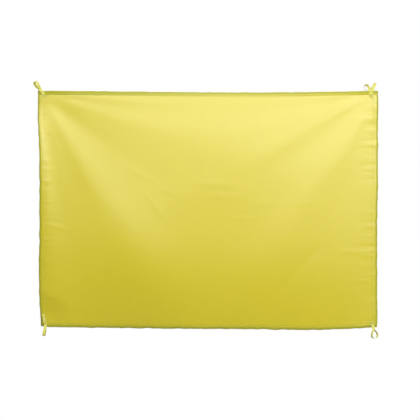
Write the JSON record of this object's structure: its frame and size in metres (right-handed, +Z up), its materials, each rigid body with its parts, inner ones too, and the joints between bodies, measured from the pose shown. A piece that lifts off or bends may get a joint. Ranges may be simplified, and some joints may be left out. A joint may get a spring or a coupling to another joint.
{
  "type": "hanging flag with ribbon loops",
  "caption": "Rectangular cloth flag with hems all round, stiffened corners and a sewn ribbon loop at each corner, hung upright by its upper loops.",
  "frame": {"origin": "middle of the top edge, level with its two ends, where a line between the upper corners passes", "axes": "+X right along the top edge as seen from the front, +Y out of the back, +Z up; the front looks along -Y"},
  "size_m": [1.0128, 0.0474, 0.7555],
  "materials": {
    "flag_cloth": "thin woven polyester, softly glossy and translucent",
    "hem_cloth": "the same polyester turned over and doubled",
    "patch_cloth": "the same polyester as a sewn-on triangle",
    "ribbon": "narrow woven polyester ribbon, matt with fine ribs",
    "thread": "polyester sewing thread"
  },
  "bodies": {
    "flag": {"flag_panel": "flag_cloth", "hem_top": "hem_cloth", "hem_bottom": "hem_cloth", "hem_left": "hem_cloth", "hem_right": "hem_cloth", "hem_stitching_top": "thread", "hem_stitching_bottom": "thread", "hem_stitching_left": "thread", "hem_stitching_right": "thread", "corner_patch_top_left": "patch_cloth", "corner_patch_top_right": "patch_cloth", "corner_patch_bottom_left": "patch_cloth", "corner_patch_bottom_right": "patch_cloth", "patch_stitching_top_left": "thread", "patch_stitching_top_right": "thread", "patch_stitching_bottom_left": "thread", "patch_stitching_bottom_right": "thread", "ribbon_tab_top_left": "ribbon", "ribbon_tab_top_right": "ribbon", "ribbon_tab_bottom_left": "ribbon", "ribbon_tab_bottom_right": "ribbon", "bartack_top_left": "thread", "bartack_top_right": "thread", "bartack_bottom_left": "thread", "bartack_bottom_right": "thread"},
    "loop_top_left": {"ribbon_loop_top_left": "ribbon"},
    "loop_top_right": {"ribbon_loop_top_right": "ribbon"},
    "loop_bottom_left": {"ribbon_loop_bottom_left": "ribbon"},
    "loop_bottom_right": {"ribbon_loop_bottom_right": "ribbon"}
  },
  "joints": [
    {"name": "swing_top_left", "type": "hinge", "parent": "flag", "child": "loop_top_left", "pos_m": [-0.4825, -0.0027, -0.0089], "axis": [0.809, 0, 0.5878], "range_deg": [0, 150]},
    {"name": "swing_top_right", "type": "hinge", "parent": "flag", "child": "loop_top_right", "pos_m": [0.4787, -0.0027, -0.0088], "axis": [1, 0, 0], "range_deg": [0, 150]},
    {"name": "swing_bottom_left", "type": "hinge", "parent": "flag", "child": "loop_bottom_left", "pos_m": [-0.4764, -0.0027, -0.6872], "axis": [-0.989, 0, 0.1478], "range_deg": [0, 125]},
    {"name": "swing_bottom_right", "type": "hinge", "parent": "flag", "child": "loop_bottom_right", "pos_m": [0.4831, -0.0027, -0.6857], "axis": [-0.9848, 0, -0.1736], "range_deg": [0, 140]}
  ]
}
